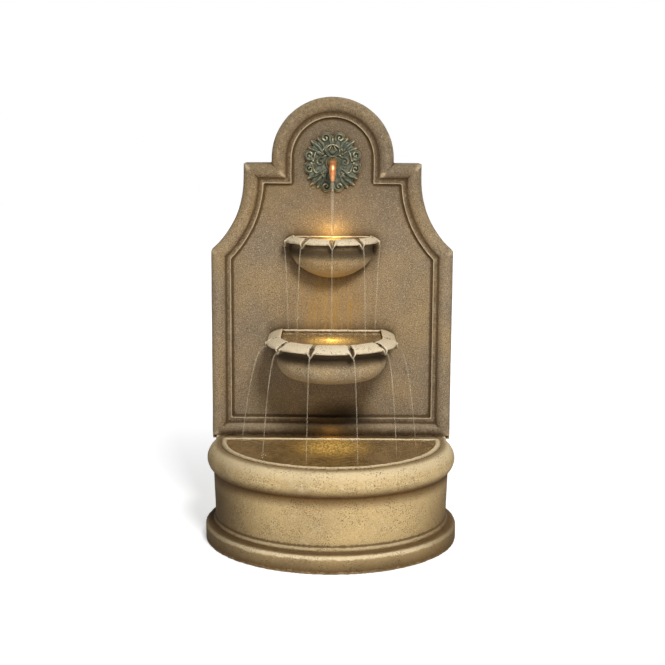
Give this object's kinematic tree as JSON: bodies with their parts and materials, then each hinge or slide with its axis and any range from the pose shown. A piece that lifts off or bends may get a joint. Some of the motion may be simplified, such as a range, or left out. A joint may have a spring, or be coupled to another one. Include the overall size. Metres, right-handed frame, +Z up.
{
  "type": "garden wall fountain",
  "caption": "Tall cast-stone wall fountain: moulded back panel with bronze rosette and spout, two pouring bowls and a half-round basin, with pump, hose and lamps inside.",
  "frame": {"origin": "on the ground, on the upright axis of the basin's round front", "axes": "+Z up, the front faces -Y, +X to the right seen from the front; the back faces are at +Y"},
  "size_m": [0.662, 0.5009, 1.15],
  "materials": {
    "cast_stone_basin": "rough",
    "cast_stone_panel": "rough",
    "cast_stone_upper_bowl": "rough",
    "cast_stone_lower_bowl": "rough",
    "rear_cover": "satin",
    "cover_screws": "brushed",
    "access_door": "satin",
    "hinges": "brushed",
    "hinges_door_side": "brushed",
    "hinge_pins": "brushed",
    "door_knob": "matt",
    "magnet": "matt",
    "strike": "brushed",
    "bronze": "patinated, with worn highlights",
    "rosette_studs": "plain",
    "copper_spout": "aged copper",
    "copper_collar": "aged copper",
    "brass_elbow": "plain",
    "brass_locknut": "plain",
    "hose": "matt",
    "hose_clamps": "brushed",
    "hose_clips": "matt",
    "pump_housing": "matt",
    "pump_chamber": "matt",
    "impeller": "matt",
    "pump_shaft": "ground",
    "pump_bushes": "matt",
    "strainer": "matt",
    "flow_dial": "matt",
    "pump_feet": "matt",
    "grommets": "matt",
    "pump_lead": "matt",
    "junction_box": "matt",
    "junction_lid": "matt",
    "led_driver": "matt",
    "lid_screws": "brushed",
    "mains_gland": "matt",
    "bowl_bolts": "brushed",
    "bowl_nuts": "brushed",
    "seat_bolts": "brushed",
    "seat_nuts": "brushed",
    "hanging_rail": "galvanised",
    "rail_spacers": "brushed",
    "rail_screws": "brushed",
    "drain_plug": "matt",
    "upper_bracket": "brushed",
    "upper_lamp_can": "dull",
    "upper_lens": "clear, lit from behind",
    "upper_bezel": "dull",
    "upper_lead": "matt",
    "lower_bracket": "brushed",
    "lower_lamp_can": "dull",
    "lower_lens": "clear, lit from behind",
    "lower_bezel": "dull",
    "lower_lead": "matt",
    "basin_bracket": "brushed",
    "basin_lamp_can": "dull",
    "basin_lens": "clear, lit from behind",
    "basin_bezel": "dull",
    "basin_lead": "matt"
  },
  "bodies": {
    "fountain": {"basin": "cast_stone_basin", "back_panel": "cast_stone_panel", "upper_bowl": "cast_stone_upper_bowl", "lower_bowl": "cast_stone_lower_bowl", "rear_cover": "rear_cover", "rear_cover_screws": "cover_screws", "hinge_fixed_leaves": "hinges", "hinge_pins": "hinge_pins", "door_magnet": "magnet", "rosette": "bronze", "rosette_studs": "rosette_studs", "spout_tube": "copper_spout", "spout_collar": "copper_collar", "spout_elbow": "brass_elbow", "spout_locknut": "brass_locknut", "riser_hose": "hose", "hose_clamps": "hose_clamps", "hose_clips": "hose_clips", "pump_housing": "pump_housing", "pump_chamber": "pump_chamber", "pump_shaft": "pump_shaft", "pump_bushes": "pump_bushes", "pump_feet": "pump_feet", "lead_grommets": "grommets", "pump_lead": "pump_lead", "junction_box": "junction_box", "junction_lid": "junction_lid", "led_driver": "led_driver", "junction_lid_screws": "lid_screws", "mains_gland": "mains_gland", "bowl_bolts": "bowl_bolts", "bowl_nuts": "bowl_nuts", "seat_bolts": "seat_bolts", "seat_nuts": "seat_nuts", "hanging_rail": "hanging_rail", "rail_spacers": "rail_spacers", "rail_screws": "rail_screws", "upper_lamp_bracket": "upper_bracket", "upper_lamp_lead": "upper_lead", "lower_lamp_bracket": "lower_bracket", "lower_lamp_lead": "lower_lead", "basin_lamp_bracket": "basin_bracket", "basin_lamp_lead": "basin_lead"},
    "door": {"access_door": "access_door", "hinge_door_leaves": "hinges_door_side", "door_knob": "door_knob", "door_strike": "strike"},
    "impeller": {"pump_impeller": "impeller"},
    "strainer": {"pump_strainer": "strainer"},
    "dial": {"flow_dial": "flow_dial"},
    "plug": {"drain_plug": "drain_plug"},
    "upper_lamp": {"upper_lamp_body": "upper_lamp_can", "upper_lamp_lens": "upper_lens", "upper_lamp_bezel": "upper_bezel"},
    "lower_lamp": {"lower_lamp_body": "lower_lamp_can", "lower_lamp_lens": "lower_lens", "lower_lamp_bezel": "lower_bezel"},
    "basin_lamp": {"basin_lamp_body": "basin_lamp_can", "basin_lamp_lens": "basin_lens", "basin_lamp_bezel": "basin_bezel"}
  },
  "joints": [
    {"name": "impeller_spin", "type": "hinge", "parent": "fountain", "child": "impeller", "pos_m": [-0.11, 0.085, 0.07], "axis": [1, 0, 0], "continuous": true},
    {"name": "strainer_pull", "type": "slide", "parent": "fountain", "child": "strainer", "axis": [1, 0, 0], "range_m": [0, 0.06]},
    {"name": "flow_dial_turn", "type": "hinge", "parent": "strainer", "child": "dial", "pos_m": [-0.058, 0.085, 0.07], "axis": [1, 0, 0], "range_deg": [0, 90]},
    {"name": "door_swing", "type": "hinge", "parent": "fountain", "child": "door", "pos_m": [-0.124, 0.1584, 0.4], "axis": [0, 0, 1], "range_deg": [0, 110]},
    {"name": "upper_lamp_tilt", "type": "hinge", "parent": "fountain", "child": "upper_lamp", "pos_m": [0, 0.04, 0.72389], "axis": [1, 0, 0], "range_deg": [-30, 30]},
    {"name": "lower_lamp_tilt", "type": "hinge", "parent": "fountain", "child": "lower_lamp", "pos_m": [0, -0.06, 0.4583], "axis": [1, 0, 0], "range_deg": [-30, 30]},
    {"name": "basin_lamp_tilt", "type": "hinge", "parent": "fountain", "child": "basin_lamp", "pos_m": [0, -0.03, 0.055], "axis": [1, 0, 0], "range_deg": [-30, 30]},
    {"name": "drain_plug_lift", "type": "slide", "parent": "fountain", "child": "plug", "axis": [0, 0, 1], "range_m": [0, 0.06]}
  ]
}
